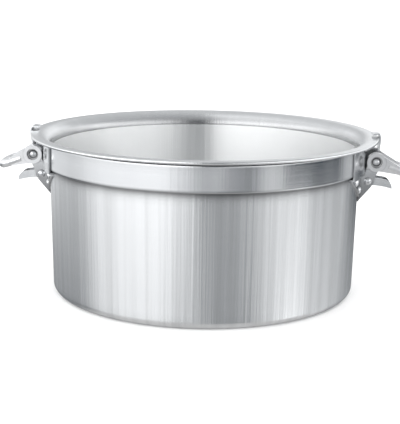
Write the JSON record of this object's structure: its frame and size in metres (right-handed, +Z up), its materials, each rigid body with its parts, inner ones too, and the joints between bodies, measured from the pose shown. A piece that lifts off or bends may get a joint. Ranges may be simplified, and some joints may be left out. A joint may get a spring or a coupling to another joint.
{
  "type": "brew kettle",
  "caption": "Wide open aluminium brew kettle with a bell-mouthed lip, a collar hoop, two hinged loop handles and two sprung lid clamps on saddle brackets.",
  "frame": {"origin": "centre of the base's underside", "axes": "+Z up along the pot's axis, +X towards the right-hand handle, so that the two handles lie on the X axis; +Y away from the front"},
  "size_m": [0.5366, 0.449, 0.2097],
  "materials": {
    "spun_aluminium": "satin, spun and polished",
    "band_aluminium": "polished rolled strip",
    "bracket_aluminium": "tumbled pressed sheet",
    "cast_aluminium": "tumbled forging",
    "rivet_aluminium": "bright domed heads",
    "clamp_steel": "bright pressed steel",
    "pin_steel": "turned and headed",
    "spring_steel": "drawn wire"
  },
  "bodies": {
    "pot": {"pot_base": "spun_aluminium", "pot_corner": "spun_aluminium", "pot_wall": "spun_aluminium", "pot_lip": "spun_aluminium", "collar_band": "band_aluminium", "saddle_bracket_right": "bracket_aluminium", "bracket_rivets_right": "rivet_aluminium", "handle_pins_right": "pin_steel", "handle_washers_right": "pin_steel", "clamp_pin_right": "pin_steel", "clamp_spacers_right": "pin_steel", "saddle_bracket_left": "bracket_aluminium", "bracket_rivets_left": "rivet_aluminium", "handle_pins_left": "pin_steel", "handle_washers_left": "pin_steel", "clamp_pin_left": "pin_steel", "clamp_spacers_left": "pin_steel"},
    "carry_handle_right": {"handle_right": "cast_aluminium"},
    "lid_clamp_right": {"clamp_lever_right": "clamp_steel", "hook_strap_right": "clamp_steel", "strap_rivets_right": "pin_steel", "clamp_spring_right": "spring_steel"},
    "carry_handle_left": {"handle_left": "cast_aluminium"},
    "lid_clamp_left": {"clamp_lever_left": "clamp_steel", "hook_strap_left": "clamp_steel", "strap_rivets_left": "pin_steel", "clamp_spring_left": "spring_steel"}
  },
  "joints": [
    {"name": "handle_hinge_right", "type": "hinge", "parent": "pot", "child": "carry_handle_right", "pos_m": [0.221, 0, 0.175], "axis": [0, -1, 0], "range_deg": [0, 85]},
    {"name": "clamp_hinge_right", "type": "hinge", "parent": "pot", "child": "lid_clamp_right", "pos_m": [0.2115, 0, 0.1485], "axis": [0, 1, 0], "range_deg": [0, 18], "stiffness_Nm_per_rad": 1, "springref_deg": -20.05},
    {"name": "handle_hinge_left", "type": "hinge", "parent": "pot", "child": "carry_handle_left", "pos_m": [-0.221, 0, 0.175], "axis": [0, 1, 0], "range_deg": [0, 85]},
    {"name": "clamp_hinge_left", "type": "hinge", "parent": "pot", "child": "lid_clamp_left", "pos_m": [-0.2115, 0, 0.1485], "axis": [0, -1, 0], "range_deg": [0, 18], "stiffness_Nm_per_rad": 1, "springref_deg": -20.05}
  ]
}
